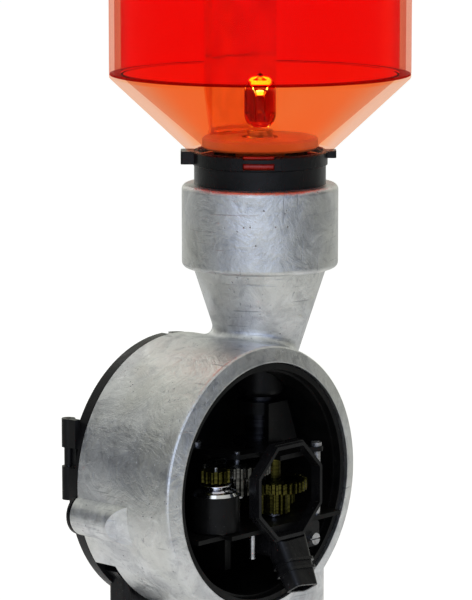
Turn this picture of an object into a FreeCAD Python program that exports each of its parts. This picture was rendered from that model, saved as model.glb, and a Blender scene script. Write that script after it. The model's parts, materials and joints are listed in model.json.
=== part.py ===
import FreeCAD, Part
import math
import os

# Rotating warning beacon head, millimetres, +Z up.
# The origin is the centre of the pole socket's mouth, on the lens axis.
# The round gear housing points its open front along -Y.

# ---- heights above the pole socket's mouth ----
RING_Z = 105.0            # centre of the round gear housing
SOCKET_BASE_Z = 200.6     # underside of the lens socket
SOCKET_TOP_Z = 239.5      # rim of the lens socket
BAND_Z = 248.7            # underside of the collar's raised band
COLLAR_TOP_Z = 255.0      # top of the collar
CONE_Z = 255.4            # bottom of the lens cone
SEAM_Z = 291.0            # joint between lens funnel and lens dome
DOME_SHOULDER_Z = 366.0   # where the lens wall starts to round over
DOME_TOP_Z = 380.0        # top of the lens

# ---- lens ----
LENS_R = 70.0
LENS_WALL = 2.6
CONE_FOOT_R = 34.5
LENS_NECK_R = 29.3
LENS_NECK_WALL = 1.8
LENS_NECK_Z = 245.2
SLEEVE_R = 64.5
SLEEVE_WALL = 1.0
SLEEVE_GAP_DEG = (324.0, 340.0)
SEAL_H = 0.9
LUG_R = 30.4
LUG_WIDTH_DEG = 29.0
LUG_ANGLES = (221.0, 341.0, 101.0)
LENS_TWIST_DEG = 26.0

# ---- collar ----
BAND_R = 31.5
BAND_BORE_R = 29.6
GROOVE_R = 30.65
COLLAR_R = 30.7
COLLAR_SPIGOT_R = 28.85
COLLAR_SPIGOT_Z = 222.0
COLLAR_FLOOR = (239.5, 243.0)
TAB_LEFT = (133.0, 36.9, 13.0, 249.0)    # degrees, reach, width, underside
TAB_RIGHT = (313.0, 35.4, 9.0, 251.7)

# ---- casting ----
SOCKET_R = 36.5
SOCKET_BORE_R = 29.0
SOCKET_FLOOR_Z = 205.0
SOCKET_ROUND = 2.5
NECK_TOP_R = 31.3
NECK_SLOPE = 10.4 / 31.9  # radius lost per millimetre of drop
NECK_FOOT_Z = 145.0       # the neck's cone ends inside the ring
NECK_FILLET = 4.0
NECK_BORE_R = 12.0
RING_X = -28.7
RING_R = 64.2
RING_BORE_R = 56.7
RING_HALF = 28.2
LIP_R = 57.2
LIP_FORWARD = 2.3
SPIGOT_R = 30.5
POLE_R = 24.3
POLE_DEPTH = 40.0
BOSS_DEG = (192.0, 348.0)
BOSS_R = 9.8
BOSS_CENTRE_R = 60.8
BOSS_FRONT_Y = -6.0
BOSS_SLANT_DEG = 52.0
TOP_SCREW_R = 60.4
SCREW_DEG = BOSS_DEG + (90.0,)
FRAME_SCREW_CORE_R = 2.0
FRAME_SCREW_HOLE_Y = 12.0
FRAME_SCREW_HEAD_H = 1.5
NOTCH_DEG = (214.7, 262.0)
NOTCH_FRONT_Y = 15.5
GRUB_DEG = (90.0, 210.0, 330.0)
GRUB_Z = 15.0
GRUB_R = 4.0
GRUB_LENGTH = 7.4
GRUB_HEX_APOTHEM = 2.3
GRUB_HEX_DEPTH = 3.0
CAST_STEPS_Z = (-5.0, 40.6, 168.5, 245.0)   # the casting's spigot, ring and neck are separate solids

# ---- rear frame and cover ----
GASKET_H = 0.8
RIM_R = 63.8
RIM_BACK_Y = 34.3
SKIRT_R = 56.4
SKIRT_FRONT_Y = 22.2
SKIRT_WALL = 2.7
COVER_R = 58.4
COVER_SEAT_R = 59.2
COVER_Y = (31.2, 34.8)
COVER_DISH = 1.7          # depth of the cover's dish and height of its ribs
COVER_RIBS = 6
COVER_HUB_R = (12.0, 9.4)
COVER_SPIGOT_R = (50.6, 48.6)
HINGE_X = RING_X - 59.6
HINGE_Y = 38.4
HINGE_PIN_R = 1.2
KNUCKLE_R = 3.2
KNUCKLES_Z = ((97.9, 113.5), (122.5, 135.8))
COVER_KNUCKLE_Z = (113.8, 122.2)
COVER_KNUCKLE_R = 2.1
SPOUT_X = (RING_X - 41.0, RING_X - 19.0)
SPOUT_Y = (20.0, 32.4)
SPOUT_Z = (27.0, 72.0)
SPOUT_WALL = 2.0
GROMMET_H = 4.0
CABLE_R = 2.6
COVER_SCREW_X = RING_X + 52.5
COVER_SCREW_R = 2.2

# ---- liner and gear module ----
LINER_R = 56.4
LINER_BORE_R = 52.0
LINER_Y = (-29.0, 21.5)
MODULE_R = 51.6
BACK_WALL_Y = (18.6, 21.2)
SHELF_Z = (84.0, 86.0)
PLATE_Z = (116.2, 118.4)
MODULE_FRONT_Y = -36.4
BEZEL_X = RING_X + 6.0
BEZEL_Z = RING_Z - 2.5
BEZEL_FLATS = 45.2
BEZEL_WALL = 2.4
BEZEL_Y = (-40.0, -34.6)
BEZEL_LIP = 1.2
SIDE_SCREW = (RING_X + 27.0, RING_Z - 29.0)

# ---- plug connector, sizes as (width, thickness) ----
PLUG_TOP = (20.0, 14.0)
PLUG_END = (14.6, 9.4)
PLUG_LENGTH = 26.0
PLUG_HOLE_TOP = (11.0, 6.4)
PLUG_HOLE_END = (11.6, 6.8)
PLUG_HOLE_START = 9.0
PLUG_HOLE_LENGTH = 18.0
PLUG_RIDGES = (13.0, 17.0)
PLUG_TILT_DEG = 33.0
PLUG_LEAN_DEG = 7.0
PLUG_PIN_X = (-3.4, 0.0, 3.4)

# ---- gear train, all axes vertical ----
MODULE = 1.0
FACE = 4.6
PINION_TEETH = 12
WHEEL_TEETH = 30
SECOND_PINION_TEETH = 14
OUTPUT_TEETH = 32
LEVEL_OUT = 88.2          # underside of the output gear
LEVEL_MID = 99.2          # underside of the second wheel
LEVEL_TOP = 109.4         # underside of the first wheel
SECOND_DEG = 238.5        # from the drive tube to the second axle
FIRST_DEG = 168.0         # from the second axle to the first axle
MOTOR_DEG = 195.0         # from the first axle to the motor
AXLE_R = 1.5
GEAR_BORE_R = 1.56
TUBE_R = 7.0
TUBE_BORE_R = 5.4
POST_R = 4.8
BUSH_BORE_R = 7.05
MOTOR_R = 11.0
MOTOR_TOP_Z = 105.2

# ---- turntable, bulb and mirror ----
TURNTABLE_R = 27.0
TURNTABLE_Z = (256.0, 261.4)
TURNTABLE_HOLE_R = 8.6
BULB_R = 7.4
BULB_Z = (263.6, 290.0)
BULB_BASE_R = 6.0
MIRROR_FOCAL = 19.3
MIRROR_HALF = 22.7
MIRROR_Z = (262.0, 331.0)
MIRROR_FACES_DEG = 266.0
MIRROR_WALL = 1.2
MIRROR_STEPS = 12
MIRROR_SHOULDER_Z = 284.0
MIRROR_FOOT_SIDE = 15.5
MIRROR_SCREW_Y = (-7.0, 7.0)
MIRROR_SCREW_BACK = 3.4

Z = FreeCAD.Vector(0, 0, 1)
Y = FreeCAD.Vector(0, 1, 0)


def vec(x, y, z):
    return FreeCAD.Vector(x, y, z)


def polar(radius, degrees, x=0.0, y=0.0):
    a = math.radians(degrees)
    return x + radius * math.cos(a), y + radius * math.sin(a)


def cyl(radius, z0, z1, x=0.0, y=0.0):
    return Part.makeCylinder(radius, z1 - z0, vec(x, y, z0), Z)


def tube(outer, inner, z0, z1, x=0.0, y=0.0):
    return cyl(outer, z0, z1, x, y).cut(cyl(inner, z0 - 1, z1 + 1, x, y))


def cyl_y(radius, y0, y1, x=RING_X, z=RING_Z):
    return Part.makeCylinder(radius, y1 - y0, vec(x, y0, z), Y)


def tube_y(outer, inner, y0, y1, x=RING_X, z=RING_Z):
    return cyl_y(outer, y0, y1, x, z).cut(cyl_y(inner, y0 - 1, y1 + 1, x, z))


def box(x0, x1, y0, y1, z0, z1):
    return Part.makeBox(x1 - x0, y1 - y0, z1 - z0, vec(x0, y0, z0))


def face_of(points):
    corners = [vec(*p) for p in points]
    return Part.Face(Part.makePolygon(corners + [corners[0]]))


def lathe_z(profile, x=0.0, y=0.0):
    """Turns a closed outline of (radius, height) about a vertical axis."""
    outline = face_of([(x + r, y, z) for r, z in profile])
    return outline.revolve(vec(x, y, 0), Z, 360)


def lathe_y(profile, x=RING_X, z=RING_Z):
    """Turns a closed outline of (radius, y) about an axis along Y."""
    outline = face_of([(x, y, z + r) for r, y in profile])
    return outline.revolve(vec(x, 0, z), Y, 360)


def wedge_z(deg0, deg1, z0, z1, reach=100.0):
    """A pie slice about the lens axis."""
    slice_face = face_of([(0, 0, z0), (reach, 0, z0), (reach, 0, z1), (0, 0, z1)])
    solid = slice_face.revolve(vec(0, 0, 0), Z, deg1 - deg0)
    solid.rotate(vec(0, 0, 0), Z, deg0)
    return solid


def wedge_y(deg0, deg1, y0, y1, reach=100.0):
    """A pie slice about the housing's axis; 0 is +X, 90 is up."""
    slice_face = face_of([
        (RING_X, y0, RING_Z),
        (RING_X + reach, y0, RING_Z),
        (RING_X + reach, y1, RING_Z),
        (RING_X, y1, RING_Z),
    ])
    solid = slice_face.revolve(vec(RING_X, 0, RING_Z), vec(0, -1, 0), deg1 - deg0)
    solid.rotate(vec(RING_X, 0, RING_Z), vec(0, -1, 0), deg0)
    return solid


def arc_points(cx, cz, radius, deg0, deg1, steps):
    points = []
    for i in range(steps + 1):
        a = math.radians(deg0 + (deg1 - deg0) * i / steps)
        points.append((cx + radius * math.cos(a), cz + radius * math.sin(a)))
    return points


def fuse(shapes):
    return shapes[0].multiFuse(shapes[1:]).removeSplitter()


def rounded(shape, edges, radius):
    """Rounds the edges, or leaves the shape sharp where the kernel can't."""
    try:
        made = shape.makeFillet(radius, edges)
        if made.isValid() and made.Solids:
            return made
    except Exception:
        pass
    return shape


def group(shapes):
    return Part.makeCompound(shapes)


def save(name, shape):
    shape.exportStep("parts/" + name + ".step")
    print(name, len(shape.Solids), "solids", round(shape.Volume), "mm3", shape.isValid())


# ---------------------------------------------------------------- casting

def head_casting():
    socket = cyl(SOCKET_R, SOCKET_BASE_Z, SOCKET_TOP_Z)
    socket = rounded(socket, socket.Edges, SOCKET_ROUND)
    neck_drop = SOCKET_BASE_Z + 2.0 - NECK_FOOT_Z
    neck = Part.makeCone(
        NECK_TOP_R + 2.0 * NECK_SLOPE - neck_drop * NECK_SLOPE,
        NECK_TOP_R + 2.0 * NECK_SLOPE,
        neck_drop,
        vec(0, 0, NECK_FOOT_Z),
        Z,
    )
    front = -RING_HALF
    drum = lathe_y([
        (RING_BORE_R - 20, front - LIP_FORWARD),
        (LIP_R, front - LIP_FORWARD),
        (RING_R - 0.9, front - 0.35),
        (RING_R - 0.2, front + 0.3),
        (RING_R, front + 1.1),
        (RING_R, RING_HALF),
        (RING_BORE_R - 20, RING_HALF),
    ])
    foot = cyl(SPIGOT_R, 0, RING_Z - 20.0)
    foot = rounded(foot, [foot.Edges[-1]], 1.2)
    bosses = []
    for degrees in BOSS_DEG:
        cx, cz = polar(BOSS_CENTRE_R, degrees, RING_X, RING_Z)
        rib = cyl_y(BOSS_R, BOSS_FRONT_Y, RING_HALF, cx, cz)
        slant = box(-20, 20, -30, 0, -30, 30)
        slant.rotate(vec(0, 0, 0), Z, BOSS_SLANT_DEG)
        slant.translate(vec(BOSS_CENTRE_R + 2.2, BOSS_FRONT_Y + 2.0, 0))
        slant.rotate(vec(0, 0, 0), vec(0, -1, 0), degrees)
        slant.translate(vec(RING_X, 0, RING_Z))
        bosses.append(rib.cut(slant))
    outside = fuse([drum, neck])
    outside = rounded(outside, meeting_edges(outside), NECK_FILLET)
    outside = fuse([outside, socket, foot] + bosses)
    hollow = fuse([
        cyl_y(RING_BORE_R, front - 5, RING_HALF + 5),
        cyl(NECK_BORE_R, RING_Z + 30, SOCKET_FLOOR_Z + 1),
        cyl(SOCKET_BORE_R, SOCKET_FLOOR_Z, SOCKET_TOP_Z + 1),
    ])
    bore_pole = cyl(POLE_R, -1, POLE_DEPTH)
    notch = wedge_y(NOTCH_DEG[0], NOTCH_DEG[1], NOTCH_FRONT_Y, RING_HALF + 5, 75)
    notch = notch.cut(cyl(SPIGOT_R + 1.0, -5, RING_Z))
    cx, cz = polar(BOSS_CENTRE_R, BOSS_DEG[0], RING_X, RING_Z)
    notch = notch.cut(cyl_y(BOSS_R + 4.0, 0, RING_HALF + 5, cx, cz))
    back_flat = box(-40, 40, RING_HALF, RING_HALF + 9, RING_Z - RIM_R - 1.5, RING_Z)
    body = outside.cut(hollow).cut(bore_pole).cut(notch).cut(back_flat)
    for degrees in SCREW_DEG:
        cx, cz = polar(screw_radius(degrees), degrees, RING_X, RING_Z)
        body = body.cut(cyl_y(FRAME_SCREW_CORE_R, FRAME_SCREW_HOLE_Y, RING_HALF + 5, cx, cz))
    for degrees in GRUB_DEG:
        body = body.cut(grub_hole(degrees))
    return group([body.common(slab(z0, z1)) for z0, z1 in zip(CAST_STEPS_Z, CAST_STEPS_Z[1:])])


def slab(z0, z1):
    return box(-200, 200, -200, 200, z0, z1)


def meeting_edges(shape):
    """The curve where the neck runs into the drum."""
    found = []
    for edge in shape.Edges:
        centre = edge.CenterOfMass
        lows = edge.BoundBox
        on_top = lows.ZMin > RING_Z + 45 and lows.ZMax < RING_Z + 70
        if on_top and abs(centre.x) < 25 and lows.YMax < 26 and lows.YMin > -26:
            found.append(edge)
    return found


def screw_radius(degrees):
    return TOP_SCREW_R if degrees == 90.0 else BOSS_CENTRE_R


def grub_hole(degrees):
    x, y = polar(1.0, degrees)
    return Part.makeCylinder(GRUB_R, 40, vec(0, 0, GRUB_Z), vec(x, y, 0))


def grub_screws():
    screws = []
    for degrees in GRUB_DEG:
        x, y = polar(1.0, degrees)
        start = POLE_R + 0.4
        body = Part.makeCylinder(GRUB_R, GRUB_LENGTH, vec(x * start, y * start, GRUB_Z), vec(x, y, 0))
        hexagon = hex_prism(GRUB_HEX_APOTHEM, GRUB_HEX_DEPTH + 1.0)
        hexagon.rotate(vec(0, 0, 0), Y, 90)
        hexagon.rotate(vec(0, 0, 0), Z, degrees)
        outer = start + GRUB_LENGTH - GRUB_HEX_DEPTH
        hexagon.translate(vec(x * outer, y * outer, GRUB_Z))
        screws.append(body.cut(hexagon))
    return group(screws)


def hex_prism(apothem, height):
    radius = apothem / math.cos(math.radians(30))
    corners = []
    for i in range(6):
        x, y = polar(radius, 60 * i)
        corners.append((x, y, 0))
    return face_of(corners).extrude(vec(0, 0, height))


# ---------------------------------------------------------------- lens

def lens_funnel():
    flange_z = SEAM_Z - SEAL_H / 2
    wall = LENS_WALL
    run = (flange_z - CONE_Z) / (LENS_R - CONE_FOOT_R)
    inner_foot_r = LENS_NECK_R - LENS_NECK_WALL
    inner_top_r = SLEEVE_R - SLEEVE_WALL - 1.2
    inner_top_z = flange_z - wall
    inner_foot_z = inner_top_z - (inner_top_r - inner_foot_r) * run
    shell = lathe_z([
        (LENS_NECK_R, LENS_NECK_Z),
        (LENS_NECK_R, CONE_Z),
        (CONE_FOOT_R - 0.4, CONE_Z),
        (CONE_FOOT_R, CONE_Z + 0.5),
        (LENS_R - 0.3, flange_z - 1.6),
        (LENS_R, flange_z - 1.0),
        (LENS_R, flange_z),
        (inner_top_r, flange_z),
        (inner_top_r, inner_top_z),
        (inner_foot_r, max(inner_foot_z, CONE_Z + 2.5)),
        (inner_foot_r, LENS_NECK_Z),
    ])
    lugs = []
    for degrees in LUG_ANGLES:
        for z0, z1 in lug_heights():
            ring = tube(LUG_R, LENS_NECK_R - 0.4, z0, z1)
            sector = wedge_z(degrees - LUG_WIDTH_DEG / 2, degrees + LUG_WIDTH_DEG / 2, z0 - 1, z1 + 1)
            lugs.append(ring.common(sector))
    return fuse([shell] + lugs)


def lug_heights():
    return ((BAND_Z + 0.6, BAND_Z + 3.3), (BAND_Z + 5.2, COLLAR_TOP_Z))


def groove_heights():
    return ((BAND_Z + 0.2, BAND_Z + 3.6), (BAND_Z + 4.9, COLLAR_TOP_Z + 1.0))


def seam_seal():
    half = SEAL_H / 2
    return tube(LENS_R, SLEEVE_R + 0.6, SEAM_Z - half, SEAM_Z + half)


def lens_dome():
    bottom = SEAM_Z + SEAL_H / 2
    corner = DOME_TOP_Z - DOME_SHOULDER_Z
    outer_arc = arc_points(LENS_R - corner, DOME_SHOULDER_Z, corner, 0, 80, 8)
    inner_arc = arc_points(LENS_R - corner, DOME_SHOULDER_Z, corner - LENS_WALL, 80, 0, 8)
    crown = DOME_TOP_Z + 1.2
    profile = [(LENS_R, bottom)] + outer_arc + [(0, crown), (0, crown - LENS_WALL)] + inner_arc
    profile = profile + [(LENS_R - LENS_WALL, bottom)]
    return lathe_z(profile)


def filter_sleeve():
    whole = tube(SLEEVE_R, SLEEVE_R - SLEEVE_WALL, SEAM_Z - SEAL_H / 2, DOME_SHOULDER_Z - 4.0)
    return whole.cut(wedge_z(SLEEVE_GAP_DEG[0], SLEEVE_GAP_DEG[1], SEAM_Z - 2, DOME_TOP_Z))


# ---------------------------------------------------------------- collar

def collar():
    body = lathe_z([
        (COLLAR_SPIGOT_R, COLLAR_SPIGOT_Z),
        (COLLAR_SPIGOT_R, SOCKET_TOP_Z),
        (COLLAR_R, SOCKET_TOP_Z),
        (COLLAR_R, BAND_Z - 0.6),
        (BAND_R, BAND_Z),
        (BAND_R, COLLAR_TOP_Z - 0.6),
        (BAND_R - 0.6, COLLAR_TOP_Z),
        (BAND_BORE_R, COLLAR_TOP_Z),
        (BAND_BORE_R, COLLAR_FLOOR[1]),
        (10.0, COLLAR_FLOOR[1]),
        (10.0, COLLAR_FLOOR[0]),
        (COLLAR_SPIGOT_R - 2.6, COLLAR_FLOOR[0]),
        (COLLAR_SPIGOT_R - 2.6, COLLAR_SPIGOT_Z),
    ])
    tabs = [collar_tab(*TAB_LEFT), collar_tab(*TAB_RIGHT)]
    body = fuse([body] + tabs)
    for degrees in LUG_ANGLES:
        start = degrees - LUG_WIDTH_DEG / 2 - 0.6
        end = degrees + LUG_WIDTH_DEG / 2 + LENS_TWIST_DEG + 0.6
        for z0, z1 in groove_heights():
            slot = tube(GROOVE_R, BAND_BORE_R - 1, z0, z1)
            body = body.cut(slot.common(wedge_z(start, end, z0 - 1, z1 + 1)))
            window = tube(BAND_R + 1, GROOVE_R - 0.5, z0 + 0.2, z1 - 0.2)
            window = window.common(wedge_z(start + 1.5, start + LUG_WIDTH_DEG - 0.6, z0, z1))
            body = body.cut(window)
        entry = tube(GROOVE_R, BAND_BORE_R - 1, groove_heights()[0][0], COLLAR_TOP_Z + 1)
        entry = entry.common(wedge_z(end - LUG_WIDTH_DEG - 1.0, end, BAND_Z, COLLAR_TOP_Z + 2))
        body = body.cut(entry)
    return body


def collar_tab(degrees, reach, width, z0):
    tab = box(BAND_R - 1.0, reach, -width / 2, width / 2, z0, COLLAR_TOP_Z)
    outer_edges = [e for e in tab.Edges if e.BoundBox.XMin > reach - 0.1 and e.BoundBox.ZLength > 1]
    tab = rounded(tab, outer_edges, 1.2)
    tab.rotate(vec(0, 0, 0), Z, degrees)
    return tab


def collar_seal():
    """Rubber ring under the lens neck."""
    return tube(LENS_NECK_R, LENS_NECK_R - 2.0, COLLAR_FLOOR[1], LENS_NECK_Z - 0.35)


def upper_bush():
    """Flanged bronze bush in the collar's floor."""
    body = tube(10.0, BUSH_BORE_R, COLLAR_FLOOR[0] - 3.0, COLLAR_FLOOR[1])
    flange = tube(13.0, BUSH_BORE_R, COLLAR_FLOOR[0] - 1.5, COLLAR_FLOOR[0])
    return fuse([body, flange])


# ---------------------------------------------------------------- rotating reflector

def drive_tube():
    return tube(TUBE_R, TUBE_BORE_R, SHELF_Z[0] + 0.5, COLLAR_FLOOR[1] + 4.5)


def turntable():
    """Cup on top of the drive tube with a disc that clears the lens neck."""
    return lathe_z([
        (TUBE_R, COLLAR_FLOOR[1] + 0.5),
        (11.4, COLLAR_FLOOR[1] + 0.5),
        (11.4, TURNTABLE_Z[0]),
        (TURNTABLE_R - 1.0, TURNTABLE_Z[0]),
        (TURNTABLE_R, TURNTABLE_Z[0] + 1.0),
        (TURNTABLE_R, TURNTABLE_Z[1] - 1.0),
        (TURNTABLE_R - 1.0, TURNTABLE_Z[1]),
        (TURNTABLE_HOLE_R, TURNTABLE_Z[1]),
        (TURNTABLE_HOLE_R, COLLAR_FLOOR[1] + 4.5),
        (TUBE_R, COLLAR_FLOOR[1] + 4.5),
    ])


def mirror_x(side, focal):
    """Depth of a parabola that has its focus on the lens axis."""
    return side * side / (4.0 * focal) - focal


def reflector():
    """Parabolic trough behind the bulb, narrowing to a foot on the turntable."""
    inner = []
    outer = []
    for i in range(MIRROR_STEPS + 1):
        side = MIRROR_HALF * (2.0 * i / MIRROR_STEPS - 1.0)
        x = mirror_x(side, MIRROR_FOCAL)
        inner.append((x, side, MIRROR_Z[0]))
        outer.append((x - MIRROR_WALL, side, MIRROR_Z[0]))
    trough = face_of(inner + outer[::-1]).extrude(vec(0, 0, MIRROR_Z[1] - MIRROR_Z[0]))
    for sign in (1, -1):
        off = face_of([
            (-60, sign * MIRROR_FOOT_SIDE, MIRROR_Z[0] - 1),
            (-60, sign * 40.0, MIRROR_Z[0] - 1),
            (-60, sign * 40.0, MIRROR_SHOULDER_Z + 6),
            (-60, sign * MIRROR_HALF, MIRROR_SHOULDER_Z),
        ]).extrude(vec(120, 0, 0))
        trough = trough.cut(off)
        corner = face_of([
            (-60, sign * (MIRROR_HALF - 8.0), MIRROR_Z[1] + 1),
            (-60, sign * 40.0, MIRROR_Z[1] + 1),
            (-60, sign * 40.0, MIRROR_Z[1] - 26.0),
        ]).extrude(vec(120, 0, 0))
        trough = trough.cut(corner)
    foot_x = mirror_x(0, MIRROR_FOCAL)
    foot = box(foot_x - 5.5, foot_x + 3.0, -10.0, 10.0, TURNTABLE_Z[1], MIRROR_Z[0] + 1.0)
    foot = foot.cut(cyl(TURNTABLE_HOLE_R + 1.5, TURNTABLE_Z[1] - 1, MIRROR_Z[0] + 3))
    shape = fuse([trough, foot])
    for y in MIRROR_SCREW_Y:
        shape = shape.cut(cyl(1.3, TURNTABLE_Z[1] - 1, MIRROR_Z[0] + 3, foot_x - MIRROR_SCREW_BACK, y))
    shape.rotate(vec(0, 0, 0), Z, MIRROR_FACES_DEG)
    return shape


def reflector_screws():
    screws = []
    foot_x = mirror_x(0, MIRROR_FOCAL)
    top = MIRROR_Z[0] + 1.0
    for y in MIRROR_SCREW_Y:
        head = cyl(2.1, top, top + 1.6, foot_x - MIRROR_SCREW_BACK, y)
        slot = box(foot_x - 6, foot_x, y - 0.3, y + 0.3, top + 0.9, top + 2)
        shank = cyl(1.25, TURNTABLE_Z[1], top, foot_x - MIRROR_SCREW_BACK, y)
        screws.append(fuse([head.cut(slot), shank]))
    shape = group(screws)
    shape.rotate(vec(0, 0, 0), Z, MIRROR_FACES_DEG)
    return shape


# ---------------------------------------------------------------- bulb

def bulb_post():
    """Fixed tube that stands inside the drive tube and carries the bulb holder."""
    stem = tube(POST_R, POST_R - 1.0, SHELF_Z[0] - 6.0, COLLAR_FLOOR[1] + 8.0)
    foot = tube(9.0, POST_R - 1.0, SHELF_Z[0] - 6.0, SHELF_Z[0] - 3.0)
    return fuse([stem, foot])


def bulb_holder():
    base = COLLAR_FLOOR[1] + 8.0
    cup = tube(BULB_BASE_R + 1.0, BULB_BASE_R + 0.05, base, base + 7.0)
    floor = cyl(BULB_BASE_R + 1.0, base, base + 1.0).cut(cyl(2.0, base - 2, base + 2))
    lips = tube(BULB_BASE_R + 1.6, BULB_BASE_R + 0.9, base + 5.6, base + 7.0)
    return fuse([cup, floor, lips])


def bulb_base():
    low = COLLAR_FLOOR[1] + 9.0
    cap = lathe_z([
        (0, low),
        (BULB_BASE_R, low),
        (BULB_BASE_R, BULB_Z[0] - 3.0),
        (BULB_BASE_R + 0.5, BULB_Z[0] - 2.4),
        (BULB_BASE_R, BULB_Z[0] - 1.8),
        (BULB_BASE_R, BULB_Z[0] + 1.0),
        (0, BULB_Z[0] + 1.0),
    ])
    return cap


def bulb_glass():
    """Closed envelope with a rounded foot and a drawn tip."""
    low = BULB_Z[0] + 1.0
    foot = arc_points(0, low + BULB_R, BULB_R, -54, 0, 5)
    top = arc_points(0, BULB_Z[1] - BULB_R, BULB_R, 0, 78, 7)
    profile = [(0, low + BULB_R - BULB_R * math.sin(math.radians(54)))] + foot + top + [(0, BULB_Z[1] + 1.2)]
    solid = lathe_z(profile)
    inner_low = low + 4.2
    inner = lathe_z([
        (0, inner_low),
        (BULB_R - 3.4, inner_low),
        (BULB_R - 1.0, inner_low + 4.0),
        (BULB_R - 1.0, BULB_Z[1] - 6.5),
        (BULB_R - 3.6, BULB_Z[1] - 2.6),
        (0, BULB_Z[1] - 1.2),
    ])
    return solid.cut(inner)


def filament():
    """Coiled wire on two supports, drawn as a fine bar."""
    base = BULB_Z[0] + 5.2
    bar_z = BULB_Z[1] - 9.0
    posts = [cyl(0.35, base, bar_z, x, 0) for x in (-2.6, 2.6)]
    bar = Part.makeCylinder(0.7, 5.2, vec(-2.6, 0, bar_z), vec(1, 0, 0))
    shape = fuse(posts + [bar])
    shape.rotate(vec(0, 0, 0), Z, MIRROR_FACES_DEG + 90)
    return shape


# ---------------------------------------------------------------- gears

def axle_points():
    second = polar(MODULE * (OUTPUT_TEETH + SECOND_PINION_TEETH) / 2, SECOND_DEG)
    first = polar(MODULE * (WHEEL_TEETH + PINION_TEETH) / 2, FIRST_DEG, *second)
    motor = polar(MODULE * (WHEEL_TEETH + PINION_TEETH) / 2, MOTOR_DEG, *first)
    return second, first, motor


def involute(angle):
    return math.tan(angle) - angle


def toothed(teeth, z0, face, phase_deg, centre):
    """A spur gear blank with involute flanks, one tooth centred on phase_deg."""
    pitch_r = MODULE * teeth / 2
    base_r = pitch_r * math.cos(math.radians(20))
    tip_r = pitch_r + 0.72 * MODULE
    root_r = pitch_r - 1.05 * MODULE
    backlash = 0.10 * MODULE / pitch_r
    half = math.pi / (2 * teeth) - backlash
    outline = []
    for i in range(teeth):
        middle = math.radians(phase_deg) + 2 * math.pi * i / teeth
        flank = []
        for r in (root_r, max(base_r, root_r + 0.05), pitch_r, tip_r):
            pressure = math.acos(min(1.0, base_r / r))
            turn = half + involute(math.radians(20)) - involute(pressure)
            flank.append((r, turn))
        for r, turn in flank:
            outline.append((*polar(r, math.degrees(middle - turn), *centre), z0))
        for r, turn in reversed(flank):
            outline.append((*polar(r, math.degrees(middle + turn), *centre), z0))
    return face_of(outline).extrude(vec(0, 0, face))


def direction(a, b):
    return math.degrees(math.atan2(b[1] - a[1], b[0] - a[0]))


def wheel(teeth, z0, mate, centre, bore, web):
    """A gear with its tooth facing the mate, a hub and a dished web."""
    body = toothed(teeth, z0, FACE, direction(centre, mate), centre)
    pitch_r = MODULE * teeth / 2
    dish = tube(pitch_r - 3.2, bore + 3.4, z0 + FACE - web, z0 + FACE + 1, *centre)
    body = body.cut(dish)
    return body.cut(cyl(bore, z0 - 1, z0 + FACE + 1, *centre))


def pinion(teeth, z0, face, mate, centre, bore):
    """A gear with a gap facing the mate."""
    body = toothed(teeth, z0, face, direction(centre, mate) + 180.0 / teeth, centre)
    return body.cut(cyl(bore, z0 - 1, z0 + face + 1, *centre))


def output_gear():
    second = axle_points()[0]
    body = wheel(OUTPUT_TEETH, LEVEL_OUT, second, (0, 0), TUBE_R, 1.6)
    hub = tube(TUBE_R + 3.0, TUBE_R, LEVEL_OUT + FACE, LEVEL_OUT + FACE + 4.0)
    return fuse([body, hub])


def second_wheel():
    second, first, _ = axle_points()
    return wheel(WHEEL_TEETH, LEVEL_MID, first, second, GEAR_BORE_R, 1.6)


def second_pinion():
    """Long pinion under the second wheel, with a hub up to the plate."""
    second = axle_points()[0]
    teeth = pinion(SECOND_PINION_TEETH, LEVEL_OUT, LEVEL_MID - LEVEL_OUT, (0, 0), second, GEAR_BORE_R)
    hub = tube(3.4, GEAR_BORE_R, LEVEL_MID + FACE, PLATE_Z[0] - 0.5, *second)
    return group([teeth, hub])


def first_wheel():
    _, first, motor = axle_points()
    return wheel(WHEEL_TEETH, LEVEL_TOP, motor, first, GEAR_BORE_R, 1.6)


def first_pinion():
    second, first, _ = axle_points()
    return pinion(PINION_TEETH, LEVEL_MID, LEVEL_TOP - LEVEL_MID, second, first, GEAR_BORE_R)


def motor_pinion():
    _, first, motor = axle_points()
    return pinion(PINION_TEETH, LEVEL_TOP - 0.4, FACE + 0.8, first, motor, 1.0)


def motor_shaft():
    motor = axle_points()[2]
    return cyl(1.0, MOTOR_TOP_Z - 6.0, LEVEL_TOP + FACE + 1.6, *motor)


def motor_can():
    motor = axle_points()[2]
    can = cyl(MOTOR_R, SHELF_Z[1], MOTOR_TOP_Z - 2.0, *motor)
    can = rounded(can, [can.Edges[-1]], 1.0)
    return can.cut(cyl(1.6, MOTOR_TOP_Z - 8.0, MOTOR_TOP_Z, *motor))


def motor_end_bell():
    """Domed steel end of the motor."""
    x, y = axle_points()[2]
    base = MOTOR_TOP_Z - 2.0
    return lathe_z([
        (1.08, base),
        (MOTOR_R - 0.6, base),
        (MOTOR_R - 1.4, base + 1.4),
        (7.0, base + 2.6),
        (3.6, base + 3.0),
        (3.4, base + 4.6),
        (1.08, base + 4.6),
    ], x, y)


def axle(centre, z1):
    return cyl(AXLE_R, SHELF_Z[0] + 0.2, z1, *centre)


def axle_clips():
    """Spring washers that hold the wheels down on the axles."""
    second, first, _ = axle_points()
    low = tube(3.2, AXLE_R, LEVEL_OUT - 1.6, LEVEL_OUT - 0.7, *second)
    mid = tube(3.2, AXLE_R, LEVEL_MID - 1.6, LEVEL_MID - 0.7, *first)
    return group([low, mid])


def lower_bush():
    """Bronze bush in the shelf, round the foot of the drive tube."""
    body = tube(9.6, BUSH_BORE_R, SHELF_Z[0], SHELF_Z[1])
    flange = tube(11.6, BUSH_BORE_R, SHELF_Z[1], SHELF_Z[1] + 1.2)
    return fuse([body, flange])


# ---------------------------------------------------------------- gear module

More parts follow.
